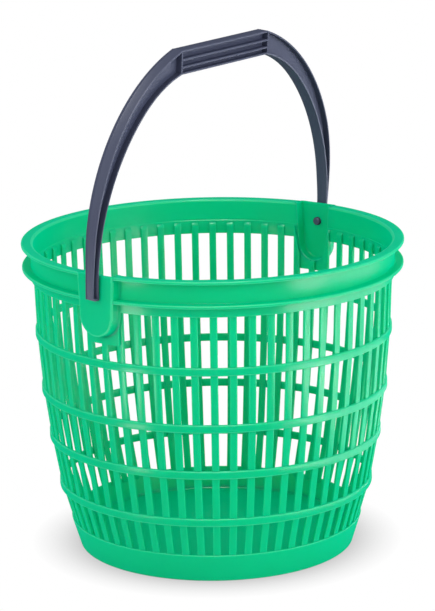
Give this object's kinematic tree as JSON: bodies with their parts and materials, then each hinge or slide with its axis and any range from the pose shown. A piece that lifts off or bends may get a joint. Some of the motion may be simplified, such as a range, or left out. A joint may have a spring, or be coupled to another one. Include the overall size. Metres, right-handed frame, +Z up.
{
  "type": "mushroom_basket",
  "caption": "Open round harvest basket with slatted, hooped sides, a flanged rim, a solid foot and a swinging bow handle hung on studs in rim lugs",
  "frame": {"origin": "centre of the foot ring on the ground", "axes": "+Z up, X through both handle pivots, the open side of the handle's channel faces -Y"},
  "size_m": [0.3024, 0.29, 0.3901],
  "materials": {
    "green_plastic": "satin gloss moulded green",
    "grey_plastic": "satin moulded anthracite"
  },
  "bodies": {
    "basket": {"floor_plate": "green_plastic", "foot_band": "green_plastic", "wall_slats": "green_plastic", "hoop_1": "green_plastic", "hoop_2": "green_plastic", "hoop_3": "green_plastic", "hoop_4": "green_plastic", "collar_band": "green_plastic", "lower_flange": "green_plastic", "top_flange": "green_plastic", "lug_left": "green_plastic", "lug_right": "green_plastic"},
    "handle": {"handle_grip": "grey_plastic", "handle_arm_left": "grey_plastic", "handle_arm_right": "grey_plastic", "pivot_stud_left": "grey_plastic", "pivot_stud_right": "grey_plastic"}
  },
  "joints": [
    {"name": "handle_swing", "type": "hinge", "parent": "basket", "child": "handle", "pos_m": [0, 0, 0.2235], "axis": [1, 0, 0], "range_deg": [-116.5, 109]}
  ]
}
